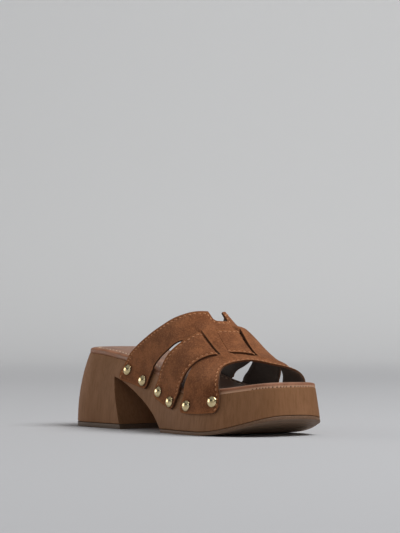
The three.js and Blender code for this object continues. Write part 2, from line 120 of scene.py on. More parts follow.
def half_width(x, side):
    """Plan outline of the wood's top: the table's width, rounded off by a superellipse at the
    heel and another at the toe, which differ on the two sides."""
    x = np.clip(x, 0, length)
    heel = np.clip(1 - x / heel_reach, 0, 1)
    heel_end = (1 - heel**heel_power) ** (1 / heel_power)
    made = 0
    for edge, column in ((-1, 1), (1, 2)):
        toe = np.clip((x - length + toe_reach[edge]) / toe_reach[edge], 0, 1)
        toe_end = (1 - toe ** toe_power[edge]) ** (1 / toe_power[edge])
        width = ball_width * through(sole_sections, column, x / length) * heel_end * toe_end
        made = made + np.where(side == edge, width, 0)
    return made


def top_height(x):
    """Height of the wood's top: platform height, plus the heel's rise, plus the toe's spring."""
    at = np.clip(x / length, 0, 1)
    rise = (heel_height - platform_height) * through(sole_sections, 3, at)
    return platform_height + rise + toe_spring * through(sole_sections, 4, at)


def spring_height(x):
    """How far the tread lifts off the floor: a parabola from the ball to the toe."""
    return toe_spring * np.clip((x - spring_start) / (length - spring_start), 0, 1) ** 2


def plan_normal(x, side, probe=0.05):
    """Outward direction of the outline in plan, from the slope of the half width."""
    before = np.maximum(x - probe, 0)
    after = np.minimum(x + probe, length)
    slope = (half_width(before, side) - half_width(after, side)) / (after - before)
    size = np.hypot(slope, 1)
    return slope / size, side / size


def wall_point(x, side, z, offset=0.0):
    """A point of the sole's side wall. It leaves the outline along the plan normal by the flare,
    which is (1 - (height / top)^bend) of its full amount, heel values turning to forepart ones
    through the waist."""
    x, side, z, offset = np.broadcast_arrays(*(np.asarray(v, float) for v in (x, side, z, offset)))
    nx, ny = plan_normal(x, side)
    top = top_height(x)
    down = np.clip((top - z) / top, 0, 1)
    fore = ease((x - flare_from) / (flare_to - flare_from))
    spread = 1 - (1 - down) ** (heel_bend + (fore_bend - heel_bend) * fore)
    back = heel_back + (fore_out - heel_back) * fore
    out = heel_side + (fore_out - heel_side) * fore
    y = side * half_width(x, side) + ny * (out * spread + offset)
    return np.stack([x + nx * (back * spread + offset), y, z], -1)


def spaced(start, end, count):
    """Stations from start to end at equal steps along the outline of both sides together,
    measured on many more stations that crowd at the rounded end."""
    fine = (1 - np.cos(np.linspace(0, 1, 4001) * np.pi)) / 2
    crowded = fine**1.5 if start == 0 else 1 - (1 - fine) ** 1.5
    x = start + (end - start) * crowded
    steps = np.sqrt(
        np.diff(x) ** 2 + np.diff(half_width(x, -1)) ** 2 / 2 + np.diff(half_width(x, 1)) ** 2 / 2
    )
    run = np.concatenate([[0], np.cumsum(steps)])
    return np.interp(np.linspace(0, run[-1], count), run, x)


def station_at(target, side, z, rounds=8):
    """The station whose wall point lies at the target X, found by closing in on it."""
    x = np.array(target, float)
    for _ in range(rounds):
        x = x + target - wall_point(x, side, z)[..., 0]
    return x


def close_ends(lateral, medial, start, end):
    """Where the two sides meet in one point, both take the mean."""
    for there, k in ((start, 0), (end, -1)):
        if there:
            lateral[:, k] = medial[:, k] = (lateral[:, k] + medial[:, k]) / 2
    return np.concatenate([lateral, medial[:, ::-1]], 1)


def sheet_faces(rows, columns, closed=False):
    """Quads between neighbouring points of a grid, whose rows may close on themselves."""
    spans = columns if closed else columns - 1
    row, here = np.meshgrid(np.arange(rows - 1) * columns, np.arange(spans), indexing="ij")
    beside = (here + 1) % columns
    corners = [row + here, row + beside, row + columns + beside, row + columns + here]
    return np.stack(corners, -1).reshape(-1, 4)


def strip_faces(columns):
    """Straight strips between the two sides of a closed row."""
    here = np.arange(columns // 2 - 1)
    return np.stack([here, here + 1, columns - 2 - here, columns - 1 - here], -1)


def solid_faces(rows, columns):
    """A skin of closed rows, with straight strips across the first and the last."""
    strip = strip_faces(columns)
    return np.concatenate([sheet_faces(rows, columns, True), strip, strip + (rows - 1) * columns])


def add_piece(name, points, faces, materials, nodes, sharp=35, closed=True, marks=None):
    """A mesh from points in the shoe's millimetres. Doubles are merged, a closed skin faces
    outwards, and edges steeper than the sharp angle stay crisp. Marks are values at its points
    that the material reads."""
    mesh = bpy.data.meshes.new(name)
    mesh.from_pydata((points.reshape(-1, 3) * MM + shoe_origin).tolist(), [], faces.tolist())
    for mark, values in (marks or {}).items():
        stored = mesh.attributes.new(mark, "FLOAT", "POINT").data
        stored.foreach_set("value", values.astype(np.float32).ravel())
    shape = bmesh.new()
    shape.from_mesh(mesh)
    bmesh.ops.remove_doubles(shape, verts=shape.verts, dist=2e-6)
    if closed:
        bmesh.ops.recalc_face_normals(shape, faces=shape.faces)
    shape.to_mesh(mesh)
    shape.free()
    mesh.shade_smooth()
    mesh.set_sharp_from_angle(angle=math.radians(sharp))
    for material in materials:
        mesh.materials.append(material)
    piece = bpy.data.objects.new(name, mesh)
    bpy.context.collection.objects.link(piece)
    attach(piece, "root")
    if nodes:
        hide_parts(*nodes)
    return piece


class Shade:
    """A value in a material's node tree. Arithmetic on it adds Math nodes, and make() adds any
    other node from its type, its settings and its sockets."""

    def __init__(self, tree, socket=None):
        self.tree = tree
        self.socket = socket

    def make(self, kind, settings=None, sockets=None, out=0):
        node = self.tree.nodes.new("ShaderNode" + kind)
        for key, value in (settings or {}).items():
            setattr(node, key, value)
        for key, value in (sockets or {}).items():
            if isinstance(value, Shade):
                self.tree.links.new(value.socket, node.inputs[key])
            else:
                node.inputs[key].default_value = value
        return Shade(self.tree, node.outputs[out])

    def math(self, operation, *values):
        return self.make("Math", {"operation": operation}, dict(enumerate(values)))

    def __add__(self, other):
        return self.math("ADD", self, other)

    def __sub__(self, other):
        return self.math("SUBTRACT", self, other)

    def __rsub__(self, other):
        return self.math("SUBTRACT", other, self)

    def __mul__(self, other):
        return self.math("MULTIPLY", self, other)

    __radd__ = __add__
    __rmul__ = __mul__

    def axis(self, number):
        """X, Y or Z of this vector."""
        return self.make("SeparateXYZ", {}, {"Vector": self}, number)

    def mark(self, name):
        """The values that a piece's points carry under this name."""
        return self.make("Attribute", {"attribute_name": name}, out="Fac")

    def between(self, low, high):
        """0 below low, 1 above high, and eased in between."""
        limits = {"Value": self, "From Min": low, "From Max": high}
        return self.make("MapRange", {"interpolation_type": "SMOOTHSTEP"}, limits)

    def noise(self, size, detail=2, rough=0.5, stretch=(1, 1, 1)):
        """Noise in this vector's space, with features of about that size in millimetres."""
        scale = tuple(1 / (size * MM * s) for s in stretch)
        placed = self.make("Mapping", {}, {"Vector": self, "Scale": scale})
        sockets = {"Vector": placed, "Scale": 1, "Detail": detail, "Roughness": rough}
        return self.make("TexNoise", {}, sockets)

    def mix(self, first, second):
        """The first colour where this is 0, and the second where it is 1."""
        return self.make("Mix", {"data_type": "RGBA"}, {0: self, 6: first, 7: second}, 2)


def new_finish(name, **constants):
    """A material with one Principled shader, its constants set on its own sockets. Returned with
    the object's coordinates and a function that links values to the shader."""
    material = bpy.data.materials.new(name)
    material.use_nodes = True
    shader = material.node_tree.nodes["Principled BSDF"]
    for key, value in constants.items():
        shader.inputs[key.replace("_", " ")].default_value = value
    place = Shade(material.node_tree).make("TexCoord", out="Object")

    def drive(**links):
        for key, value in links.items():
            material.node_tree.links.new(value.socket, shader.inputs[key.replace("_", " ")])

    return material, place, drive


def bump(height, depth):
    """A surface normal from a height of 0 to 1 that stands for that many millimetres."""
    return height.make("Bump", {}, {"Height": height, "Distance": depth * MM})


def rgb(red, green, blue):
    """A display colour of 0 to 255 as linear light, with its alpha."""
    share = np.array([red, green, blue]) / 255
    linear = np.where(share <= 0.04045, share / 12.92, ((share + 0.055) / 1.055) ** 2.4)
    return (*linear.tolist(), 1)


def breast_line(z):
    """Station of the heel's slanting front face at a height."""
    return breast_floor - (breast_floor - breast_top) * z / breast_height


# The lower line runs under the heel, up its breast, down the arch and under the forepart. On the
# top's outline, the first two of these parts end at their own stations.
heel_columns, breast_columns, arch_columns, fore_columns = 60, 16, 44, 90
heel_top, breast_end = 46, 57
over_lift = lift_thickness + gap
over_tread = tread_thickness + gap
heel_end = breast_line(over_lift)
arch_end_angle = math.acos((over_tread / breast_height) ** (arch_power / 2))
arch_angle = np.linspace(0, arch_end_angle, arch_columns)
arch_x = breast_top + (arch_front - breast_top) * np.sin(arch_angle) ** (2 / arch_power)
arch_z = breast_height * np.cos(arch_angle) ** (2 / arch_power)
breast_z = np.linspace(over_lift, breast_height, breast_columns)[1:-1]
heel_x = spaced(0, heel_end, heel_columns)
fore_x = spaced(arch_x[-1], length, fore_columns)[1:]
low_z = np.concatenate([
    np.full(heel_columns, over_lift),
    breast_z,
    arch_z,
    over_tread + spring_height(fore_x),
])
top_x = np.concatenate([
    heel_x * heel_top / heel_end,
    heel_top + (breast_end - heel_top) * (breast_z - over_lift) / (breast_height - over_lift),
    breast_end + (arch_x - breast_top) * (arch_x[-1] - breast_end) / (arch_x[-1] - breast_top),
    fore_x,
])
top_z = top_height(top_x)


def wood_side(side, rounding=0.8, rows=26):
    """Rows of the wood from its underside, round the lower edge, up the wall and round the upper
    edge. The wall is ruled in station and height from the lower line to the top's outline, and
    each edge is a quadratic curve from the wall to the face."""
    heel_last = station_at(heel_end, side, over_lift)
    fore_first = station_at(arch_x[-1], side, over_tread)
    low_x = np.concatenate([
        heel_x * heel_last / heel_end,
        station_at(breast_line(breast_z), side, breast_z),
        station_at(arch_x, side, arch_z),
        fore_x + (fore_first - arch_x[-1]) * (length - fore_x) / (length - arch_x[-1]),
    ])

    def wall(share):
        return wall_point(low_x + (top_x - low_x) * share, side, low_z + (top_z - low_z) * share)

    share = rounding / np.linalg.norm(wall(1.0) - wall(0.0), axis=-1)
    rims = []
    for x, corner, near in ((low_x, wall(0.0), wall(share)), (top_x, wall(1.0), wall(1 - share))):
        nx, ny = plan_normal(x, np.full(x.shape, side))
        inside = corner - rounding * np.stack([nx, ny, 0 * nx], -1)
        t = np.linspace(0, 1, 5)[:, None, None]
        rims.append((1 - t) ** 2 * inside + 2 * t * (1 - t) * corner + t**2 * near)
    middle = [wall(share + (1 - 2 * share) * part) for part in np.linspace(0, 1, rows)[1:-1]]
    return np.concatenate([rims[0], middle, rims[1][::-1]])


wood, place, drive = new_finish("wood", Specular_IOR_Level=0.08)
tone = place.noise(26, 3, 0.55, (1, 1, 5))
streak = place.noise(1.5, 4, 0.6, (1, 1, 26))
fine = place.noise(0.45, 3, 0.65, (1, 1, 40))
colour = tone.between(0.3, 0.7).mix(rgb(131, 93, 64), rgb(148, 107, 77))
colour = (streak.between(0.4, 0.72) * 0.45).mix(colour, rgb(111, 75, 45))
colour = (fine.between(0.5, 0.8) * 0.3).mix(colour, rgb(93, 62, 42))
drive(
    Base_Color=colour,
    Roughness=streak * 0.2 + 0.45,
    Normal=bump(fine * 0.5 + streak * 0.5, 0.12),
)
rows = close_ends(wood_side(-1), wood_side(1), True, True)
add_piece("wood_platform", rows, solid_faces(*rows.shape[:2]), [wood], ["platform_sole"])

# The heel's top piece: a slab of hard dark rubber that takes the wear. It is glued under the
# heel and ground flush with the wood, and its edges are barely broken.


def slab(stations, low, thick, rounding):
    """Rows of a thin slab under the sole: up the wall from its foot, each edge a quarter circle."""
    turn = np.linspace(0, np.pi / 2, 4)
    rise = np.concatenate([rounding * (1 - np.cos(turn)), thick - rounding * (1 - np.sin(turn))])
    inset = np.concatenate([rounding * (1 - np.sin(turn)), rounding * (1 - np.cos(turn))])
    sides = []
    for side in (-1, 1):
        rows = []
        for z, inward in zip(rise, inset):
            x = stations(side, z)
            rows.append(wall_point(x, side, low(x) + z, -inward))
        sides.append(np.array(rows))
    return sides


def lift_stations(side, z):
    """The heel's stations, stretched to end at the breast's face at this height."""
    return heel_x / heel_end * station_at(breast_line(z), side, z)


def speckled_finish(name, dark, light, size, gloss, roughness):
    """A plain finish that changes between two tones in fine specks, which are also its relief."""
    made, place, drive = new_finish(name, Specular_IOR_Level=gloss)
    speck = place.noise(size, 3, 0.6)
    drive(
        Base_Color=speck.between(0.35, 0.7).mix(dark, light),
        Roughness=speck * 0.2 + roughness,
        Normal=bump(speck, 0.1),
    )
    return made


rubber = speckled_finish("heel_rubber", rgb(77, 61, 49), rgb(104, 84, 69), 0.8, 0.35, 0.5)
lateral, medial = slab(lift_stations, np.zeros_like, lift_thickness, rounding=0.45)
rows = close_ends(lateral, medial, True, False)
add_piece("heel_top_piece", rows, solid_faces(*rows.shape[:2]), [rubber], ["heel_top_lift"])

# The forepart's tread: a thin moulded rubber sole from the arch to the toe, reddish brown at its
# side, glued under the wood and curving up with the toe.


def tread_stations(side, z):
    """Stations from the arch to the toe, shifted so that the first lies at the arch's front."""
    x = spaced(arch_front, length, fore_columns)
    first = station_at(arch_front, side, z)
    return x + (first - arch_front) * (length - x) / (length - arch_front)


tread, place, drive = new_finish("tread_rubber", Specular_IOR_Level=0.3)
speck = place.noise(1.2, 3, 0.6)
rib = place.make("TexWave", {"bands_direction": "X"}, {"Vector": place, "Scale": 60, "Distortion": 0.4})
facing = place.make("NewGeometry", out="Normal")
# Facing down, the rubber takes a far lighter colour than at its side: painted bounce light on the underside,
# which lies in shade.
below = (facing.axis(2) * -1).between(0.5, 0.9)
side_colour = speck.between(0.35, 0.7).mix(rgb(102, 75, 56), rgb(120, 91, 69))
# Under the tread the colour is lighter behind x = 0.085 m and darker past x = 0.115 m: painted fill light
# under the sole, fading out towards the toe.
painted_bounce_fade = place.axis(0).between(0.085, 0.115)
painted_bounce_sole = painted_bounce_fade.mix(rgb(186, 151, 124), rgb(128, 104, 85))
drive(
    Base_Color=below.mix(side_colour, (speck.between(0.3, 0.7) * 0.4).mix(painted_bounce_sole, rgb(115, 91, 73))),
    Roughness=speck * 0.2 + 0.5,
    Normal=bump(rib * below + speck * 0.2, 0.5),
)
lateral, medial = slab(tread_stations, spring_height, tread_thickness, rounding=0.4)
rows = close_ends(lateral, medial, False, True)
add_piece("forepart_tread", rows, solid_faces(*rows.shape[:2]), [tread], ["forepart_outsole"])

# The insole: a thin foam pad in smooth tan leather, wrapped round its edge and gathered into
# small pleats under the toe. A line of stitching holds the cover about 7 mm inside the rim.
insole_thickness = 3.9

# Level round the rim, inset and height in thicknesses of the insole
insole_rim = np.array([(0, 0.12, -0.08), (1, 0.03, 0.13), (2, 0.09, 0.52), (3, 0.23, 0.81), (4, 0.67, 1.00)])
rim_levels = np.linspace(0, 4, 21)
top_insets = [3.3, 4.2, 5.2, 5.9, 6.3, 6.7, 7.0, 7.3, 7.7, 8.2, 9.0]
groove_inset, thread_inset = 7.0, 7.3
pleat_pitch = 3.1
pleats_from, pleats_over = 0.945, 0.025
seat_x = spaced(0, length, 520)


def insole_height(inset):
    """Height over the wood at a distance inside the rim: the rounded rim, a soft roll, the
    stitched groove, and the pad's low crown."""
    roll = 0.35 * np.sin(np.clip((inset - 2.6) / 3.6, 0, 1) * np.pi)
    groove = 0.35 * np.exp(-(((inset - groove_inset) / 0.9) ** 2))
    crown = 0.5 * ease((inset - 7.5) / 6)
    return insole_thickness + roll - groove + crown


def run_along(path):
    """Distance along a path at each of its points."""
    return np.concatenate([[0], np.cumsum(np.linalg.norm(np.diff(path, axis=0), axis=-1))])


def insole_side(side):
    """Rows from under the rim, round it, and inwards over the stitched margin, and how deep in a
    fold each point lies, which the leather's colour darkens as painted shade. Pleats at an uneven
    pitch are taken off the lower rim, deep at the toe alone, and the rim sags by slow waves."""
    nx, ny = plan_normal(seat_x, np.full(seat_x.shape, side))
    edge = wall_point(seat_x, side, top_height(seat_x))
    run = run_along(edge)
    phase = run / pleat_pitch + 0.35 * np.sin(run / 7.3) + 0.2 * np.sin(run / 2.9 + side)
    pleat = 1 - np.abs(np.sin(phase * np.pi)) ** 0.7
    near_toe = ease((seat_x / length - pleats_from) / pleats_over)
    sag = 0.25 + 0.25 * np.sin(run / 5.3) * np.sin(run / 11.9 + 1)
    level = rim_levels[:, None]
    low = np.clip(1 - level / 2, 0, 1)
    taken = (0.1 + 0.7 * near_toe) * pleat * (1 - level / 4) ** 2
    rim_inset = insole_thickness * through(insole_rim, 1, level) + taken
    rim_height = insole_thickness * through(insole_rim, 2, level) - sag * low
    margin = np.array(top_insets)[:, None] + 0 * seat_x
    rows = edge - np.concatenate([rim_inset, margin])[..., None] * np.stack([nx, ny, 0 * nx], -1)
    height = np.concatenate([rim_height, insole_height(margin)])
    rows[..., 2] = top_height(rows[..., 0]) + gap + height
    return rows, np.concatenate([near_toe * pleat * low, 0 * margin])


def on_path(run, values, distance):
    """Values at a distance along a path, linear between its points."""
    return np.stack([np.interp(distance, run, values[:, axis]) for axis in range(3)], -1)


def unit(vectors):
    """The same directions with a length of 1."""
    return vectors / np.linalg.norm(vectors, axis=-1, keepdims=True)


def stitches(paths, pitch, thread, slant=0.25, probe=0.9):
    """One mesh of stitches along paths of points with normals. Each stitch is a short six-sided
    capsule, a little slanted, that arches over the leather and dives into it at both ends."""
    sides = 6
    reach = np.array([-1.0, -0.82, -0.4, 0.4, 0.82, 1.0])
    girth = np.array([0.3, 0.85, 1.0, 1.0, 0.85, 0.3])
    around = np.arange(sides) / sides * 2 * np.pi
    points = []
    for path, normal in paths:
        run = run_along(path)
        count = int(run[-1] / pitch)
        middle = (np.arange(count) + 0.5) * run[-1] / count
        centre = on_path(run, path, middle)
        along = unit(on_path(run, path, middle + probe) - on_path(run, path, middle - probe))
        up = on_path(run, normal, middle)
        up = unit(up - (up * along).sum(-1, keepdims=True) * along)
        across = np.cross(along, up)
        along, across = along + slant * across, across - slant * along
        lift = thread * (0.45 - 1.3 * np.abs(reach) ** 4)
        spread = girth * thread
        body = (
            centre[:, None, None] + along[:, None, None] * (reach * pitch * 0.3)[:, None, None]
            + up[:, None, None] * (lift[:, None] + spread[:, None] * np.cos(around))[..., None]
            + across[:, None, None] * (spread[:, None] * 1.15 * np.sin(around))[..., None]
        )
        points.append(body.reshape(-1, len(reach), sides, 3))
    points = np.concatenate(points)
    first = (np.arange(len(points)) * len(reach) * sides)[:, None, None]
    tubes = sheet_faces(len(reach), sides, True) + first
    cap = np.array([(0, 1, 2, 3), (3, 4, 5, 0)])
    caps = np.concatenate([cap, cap + (len(reach) - 1) * sides]) + first
    return points, np.concatenate([tubes.reshape(-1, 4), caps.reshape(-1, 4)])


insole_leather, place, drive = new_finish("insole_leather", Specular_IOR_Level=0.3)
edge_mm = place.mark("inset_mm")
patch = place.noise(14, 3, 0.55)
grain = place.make("TexVoronoi", {"feature": "DISTANCE_TO_EDGE"}, {"Vector": place, "Scale": 1100})
pore = place.noise(0.5, 3, 0.6)
fold = place.mark("fold")
forward = place.axis(0)
rim_colour = patch.between(0.3, 0.7).mix(rgb(132, 88, 63), rgb(153, 104, 77))
# The rim's lower lip near the toe is painted pale: a painted highlight where the lip catches the light.
painted_rim_highlight = (1 - edge_mm.between(0.3, 1.3)) * forward.between(0.0, 0.09)
rim_colour = painted_rim_highlight.mix(rim_colour, rgb(222, 178, 145))
# Darker deep in the pleats' folds: painted shade.
rim_colour = (fold.between(0.15, 0.35) * 0.85).mix(rim_colour, rgb(69, 46, 35))
top_colour = patch.between(0.3, 0.7).mix(rgb(132, 100, 84), rgb(156, 120, 101))
# Lighter from x = 0.02 m towards the toe: painted fill light on the part of the top that lies in shade under
# the front strap.
top_colour = forward.between(0.02, 0.07).mix(top_colour, rgb(180, 149, 130))
colour = edge_mm.between(2.2, 3.4).mix(rim_colour, top_colour)
groove = (edge_mm - groove_inset) * (edge_mm - groove_inset)
colour = (1 - groove.between(0.1, 1.2)).mix(colour, rgb(115, 86, 71))
drive(
    Base_Color=colour,
    Roughness=patch.between(0.3, 0.7) * 0.2 + pore * 0.2 + 0.28,
    Normal=bump(grain.between(0, 0.35) * 0.5 + pore * 0.5, 0.09),
)
lateral, lateral_folds = insole_side(-1)
medial, medial_folds = insole_side(1)
insets = np.concatenate([rim_levels * 0.65, top_insets])
thread_row = len(rim_levels) + top_insets.index(thread_inset)
seams = []
for rows in (lateral, medial):
    line = rows[thread_row, 6:-6]
    seams.append((line, np.tile((0, 0, 1.0), (len(line), 1))))
centre = (lateral[-1] + medial[-1]) / 2
shares = np.array([0.12, 0.28, 0.48, 0.72, 1.0])
inner = [rows[-1] + (centre - rows[-1]) * shares[:, None, None] for rows in (lateral, medial)]
rows = close_ends(np.concatenate([lateral, inner[0]]), np.concatenate([medial, inner[1]]), True, True)
crown = rows[-len(shares):]
crown[..., 2] = top_height(crown[..., 0]) + gap + insole_height(20.0)
faces = np.concatenate([sheet_faces(*rows.shape[:2], True), strip_faces(rows.shape[1])])
marks = np.repeat(np.concatenate([insets, top_insets[-1] + 30 * shares]), rows.shape[1])
folds = np.concatenate([lateral_folds, medial_folds[:, ::-1]], 1)
folds = np.concatenate([folds, np.zeros((len(shares), rows.shape[1]))])
insole = add_piece(
    "insole_pad", rows, faces, [insole_leather], ["insole"], 60, True,
    {"inset_mm": marks, "fold": folds},
)


def thread_finish(name, dark, light):
    """A matt twisted thread that changes between two tones."""
    thread, place, drive = new_finish(name, Specular_IOR_Level=0.3)
    twist = place.noise(0.5, 2, 0.5)
    drive(Base_Color=twist.between(0.3, 0.7).mix(dark, light), Roughness=twist * 0.2 + 0.6)
    return thread


thread = thread_finish("insole_thread", rgb(206, 178, 148), rgb(222, 198, 170))
points, faces = stitches(seams, pitch=4.6, thread=0.44)
add_piece("insole_stitching", points, faces, [thread], [], 80)

# The upper: three straps of brown suede, lined in near-black. The rear and the front one are cut
# from one sheet and joined by two bars over the instep; the middle strap is woven under the bars.
strap_wall = 2.2
suede_wall = 1.5
weave_lift, weave_tuck = 1.7, 1.4
instep_height, instep_centre, lateral_round = 45, 2.5, 2.0
ease_out, ease_depth = 0.9, 7
tab_reach = {"rear": 20, "middle": 21.3, "front": 19}
tab_corner = 5
notch_at, notch_half, notch_depth, notch_corner, notch_station = 0.98, 6.5, 8.5, 2.6, 151.0
slot_from, slot_to, slot_further = 0.7, 0.45, 0.09

# Station, clear height over the insole, roundness of the medial half
instep_sections = np.array([
    (0.408, 1.367, 2.3), (0.531, 1.373, 2.3), (0.592, 1.267, 2.3), (0.641, 1.116, 2.3),
    (0.694, 0.976, 2.2), (0.755, 0.756, 2.0), (0.816, 0.560, 1.82), (0.878, 0.420, 1.72),
    (0.939, 0.273, 1.66),
])

# Turn, back and front edge. Turn runs from -1 at the lateral tab's end over 0 at the insole's
# edge, 1 on top of the foot and 2 at the far edge to 3. The middle strap also has its lift.
straps = {
    "rear": np.array([
        (-1.0, 0.282, 0.453), (-0.5, 0.292, 0.465), (0.00, 0.322, 0.494), (0.12, 0.374, 0.533),
        (0.24, 0.436, 0.576), (0.40, 0.509, 0.618), (0.56, 0.557, 0.665), (0.72, 0.588, 0.698),
        (0.88, 0.609, 0.718), (1.00, 0.616, 0.727), (1.12, 0.612, 0.728), (1.28, 0.595, 0.722),
        (1.44, 0.573, 0.710), (1.60, 0.545, 0.688), (1.76, 0.507, 0.660), (1.88, 0.462, 0.628),
        (2.00, 0.408, 0.584), (2.50, 0.368, 0.546), (3.00, 0.350, 0.528),
    ]),
    "middle": np.array([
        (-1.0, 0.502, 0.641, 0.0), (-0.5, 0.518, 0.659, 0.0), (0.00, 0.545, 0.682, 0.0),
        (0.08, 0.561, 0.696, 0.3), (0.20, 0.590, 0.714, 0.8), (0.36, 0.624, 0.735, 1.0),
        (0.52, 0.647, 0.759, 1.0), (0.63, 0.659, 0.778, 1.0), (0.72, 0.671, 0.787, 1.0),
        (0.79, 0.682, 0.797, 1.0), (0.87, 0.691, 0.808, 1.0), (1.00, 0.698, 0.830, 1.0),
        (1.10, 0.697, 0.836, 1.0), (1.20, 0.692, 0.832, 1.0), (1.36, 0.685, 0.818, 1.0),
        (1.48, 0.679, 0.801, 1.0), (1.61, 0.671, 0.786, 1.0), (1.78, 0.659, 0.767, 0.8),
        (1.90, 0.642, 0.756, 0.3), (2.00, 0.623, 0.750, 0.0), (2.50, 0.600, 0.738, 0.0),
        (3.00, 0.583, 0.727, 0.0),
    ]),
    "front": np.array([
        (-1.0, 0.688, 0.873), (-0.5, 0.698, 0.874), (0.00, 0.709, 0.872), (0.14, 0.718, 0.867),
        (0.24, 0.724, 0.861), (0.36, 0.724, 0.848), (0.48, 0.724, 0.836), (0.60, 0.735, 0.837),
        (0.72, 0.749, 0.846), (0.84, 0.763, 0.855), (0.92, 0.768, 0.872), (1.00, 0.771, 0.894),
        (1.10, 0.773, 0.908), (1.22, 0.776, 0.914), (1.38, 0.784, 0.914), (1.50, 0.794, 0.911),
        (1.61, 0.796, 0.902), (1.74, 0.789, 0.893), (1.87, 0.779, 0.884), (2.00, 0.771, 0.880),
        (2.50, 0.764, 0.882), (3.00, 0.757, 0.881),
    ]),
}

# The two bars: turns and rise where they leave the rear and the front strap, rows, how far before
# the split and over what way the straps swell up to them, how much before a bar's end and over
# what turn the middle strap comes up, and a turn added that keeps the painted shade and painted
# highlight of cut edges off a bar's far edge
bars = [
    {
        "rear": (0.67, 0.815), "front": (0.63, 0.735), "rise": {"rear": 1.3, "front": 1.3},
        "rows": 15, "swell": (12, 14), "tuck": (0.014, 0.014), "far_edge_unpainted": 1,
    },
    {
        "rear": (1.10, 1.463), "front": (1.01, 1.415), "rise": {"rear": 2.9, "front": 1.3},
        "rows": 19, "swell": (8, 7), "tuck": (0, 0.05), "far_edge_unpainted": 0,
    },
]


def last_point(x, turn, tab):
    """The upper's inner face. Over the insole it is a superellipse arch between the two walls,
    the same power on cosine and sine of the turn; past the edge it runs down outside the wood."""
    side = np.where(turn < 1, -1.0, 1.0)
    power = 2 / np.where(turn < 1, lateral_round, through(instep_sections, 2, x / length))
    edge = top_height(x) + gap + insole_thickness
    drop = np.maximum(np.maximum(-turn, turn - 2), 0) * tab
    tab_point = wall_point(x, side, edge - drop, gap + ease_out * (1 - ease(drop / ease_depth)))
    foot = wall_point(x, side, edge, gap + ease_out)
    across = np.abs(np.cos(turn * np.pi / 2)) ** power
    up = np.abs(np.sin(turn * np.pi / 2)) ** power
    arch = np.stack([
        x + (foot[..., 0] - x) * across,
        instep_centre + (foot[..., 1] - instep_centre) * across,
        edge + instep_height * through(instep_sections, 1, x / length) * up,
    ], -1)
    return np.where((drop > 0)[..., None], tab_point, arch)


def last_normal(x, turn, tab, ahead=0.3, up=0.01):
    """Outward normal of that face, from its slopes along the shoe and round the foot."""
    along = last_point(x + ahead, turn, tab) - last_point(x - ahead, turn, tab)
    around = last_point(x, turn + up, tab) - last_point(x, turn - up, tab)
    return unit(np.cross(along, around))


def shell_point(x, turn, tab, out):
    """A point at a height over the inner face."""
    x, turn, out = np.broadcast_arrays(*(np.asarray(v, float) for v in (x, turn, out)))
    return last_point(x, turn, tab) + last_normal(x, turn, tab) * out[..., None]


def stepped(table, column, x):
    """A column with a level run at each row and an eased step between rows."""
    key, value = table[:, 0], table[:, column]
    row = np.clip(np.searchsorted(key, x, side="right") - 1, 0, len(key) - 2)
    share = ease((x - key[row]) / (key[row + 1] - key[row]))
    return value[row] + (value[row + 1] - value[row]) * share


def length_round(x, turn, probe=0.004):
    """Millimetres round the foot for each whole turn."""
    around = last_point(x, turn + probe, 0) - last_point(x, turn - probe, 0)
    return np.linalg.norm(around, axis=-1) / (2 * probe)


turn_per_mm = 1 / length_round(np.array([notch_station]), np.array([notch_at]))[0]


def notch_cut(turn, grown=0.0, ramp=0.7):
    """How far the notch takes the rear strap's back edge forward: a U with rounded corners, or
    the same U grown outwards."""
    off = np.abs(turn - notch_at) / turn_per_mm - grown
    corner = np.clip((off + notch_corner + grown - notch_half) / (notch_corner + grown), 0, 1)
    foot = notch_depth - (notch_corner + grown) * (1 - np.sqrt(1 - corner**2))
    return foot * (1 - ease((off - notch_half) / ramp))


def cut_line(name, column, turn):
    """A strap's back (1) or front (2) edge in millimetres, before corners and notch are cut."""
    return length * through(straps[name], column, turn)


def edge_lean(name, column, turn, probe=0.02):
    """How much longer an inset is along the shoe than square to the strap's slanting edge."""
    step = cut_line(name, column, turn + probe) - cut_line(name, column, turn - probe)
    around = length_round(cut_line(name, column, turn), np.clip(turn, 0.01, 1.99))
    run = np.where((turn < 0) | (turn > 2), tab_reach[name], around) * 2 * probe
    return np.hypot(1, step / run)


def to_tab_end(name, turn):
    """Millimetres to the nearer end of a strap, counted by the length of its tabs."""
    return np.minimum(turn + 1, 3 - turn) * tab_reach[name]


def edges(name, turn):
    """Back and front edge of a strap in millimetres, pulled in where its tabs' corners round."""
    short = np.clip(tab_corner - to_tab_end(name, turn), 0, tab_corner)
    pull = tab_corner - np.sqrt(tab_corner**2 - short**2)
    back = cut_line(name, 1, turn) + pull
    return back + (notch_cut(turn) if name == "rear" else 0), cut_line(name, 2, turn) - pull


def turns_of(name, *spans, pitch=0.013):
    """Turns at which a strap has its rows: close at the rounded tab ends, about 1 mm apart
    elsewhere, and a fixed count over each span of start, end and count."""
    corner = tab_corner * (1 - np.cos(np.linspace(0, np.pi / 2, 8))) / tab_reach[name]
    tab = np.concatenate([corner, np.linspace(corner[-1], 1, 14)[1:]]) - 1
    parts = [tab]
    last = 0.0
    for start, end, count in (*spans, (2.0, 2.0, 1)):
        steps = max(int((start - last) / pitch), 1)
        parts.append(np.linspace(last, start, steps + 1)[1:])
        parts.append(np.linspace(start, end, count)[1:])
        last = end
    return np.concatenate([*parts, (2 - tab[::-1])[1:]])


def lay_columns(start, end, first, last, count):
    """Stations across a strap: at fixed distances inside its two edges, and evenly between."""
    head = start[:, None] + first
    tail = end[:, None] - last[:, ::-1]
    share = np.linspace(0, 1, count + 2)[1:-1]
    return np.concatenate([head, head[:, -1:] + (tail[:, :1] - head[:, -1:]) * share, tail], 1)


